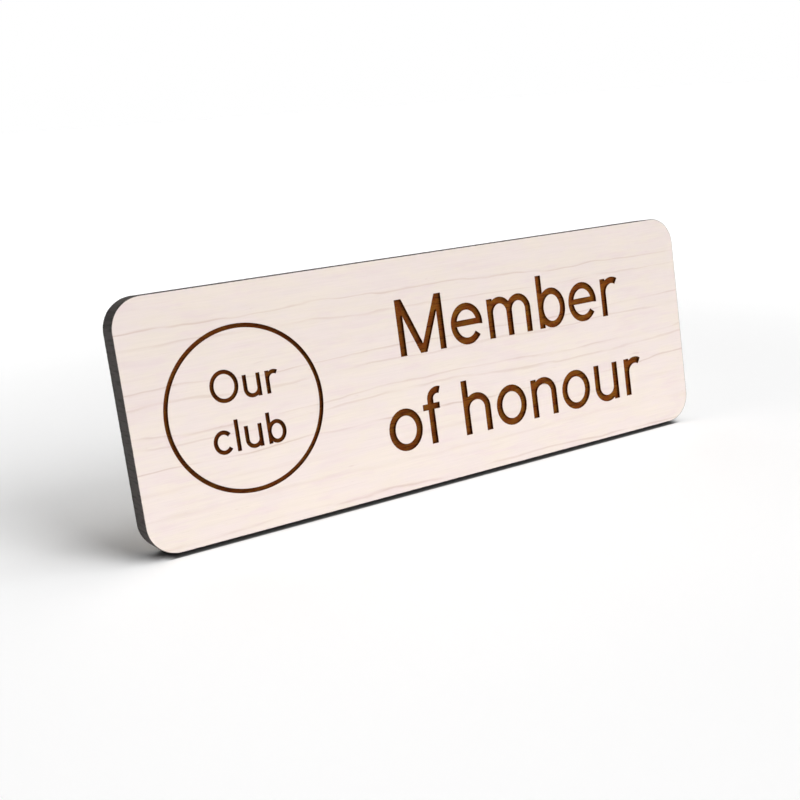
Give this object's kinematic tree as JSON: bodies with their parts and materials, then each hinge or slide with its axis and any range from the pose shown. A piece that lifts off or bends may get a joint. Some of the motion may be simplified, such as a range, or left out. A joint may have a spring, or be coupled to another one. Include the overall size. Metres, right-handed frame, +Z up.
{
  "type": "engraved wooden plaque",
  "caption": "Small rounded rectangular plaque of pale veneered board with dark laser-cut edges, an engraved ring and engraved lines of lettering, and adhesive strips on its back.",
  "frame": {"origin": "bottom centre of the whole plaque's box, on the surface that the plaque stands on", "axes": "+X along the plaque's length, to the reader's right; +Y from the engraved face to the back; +Z up"},
  "size_m": [0.07, 0.0034, 0.025],
  "materials": {
    "face_maple": "pale sanded maple veneer with a matt clear coat; the engraving is burnt brown",
    "charred_core": "fibreboard, its laser-cut edge charred to a dull dark grey-brown",
    "back_maple": "pale maple veneer, sanded and left bare",
    "adhesive": "translucent off-white acrylic adhesive tape",
    "liner_paper": "smooth silicone-coated release paper with a slight sheen"
  },
  "bodies": {
    "root": {"face_veneer": "face_maple", "core_board": "charred_core", "back_veneer": "back_maple", "adhesive_strip_upper": "adhesive", "adhesive_strip_lower": "adhesive", "release_liner_upper": "liner_paper", "release_liner_lower": "liner_paper"}
  },
  "joints": []
}
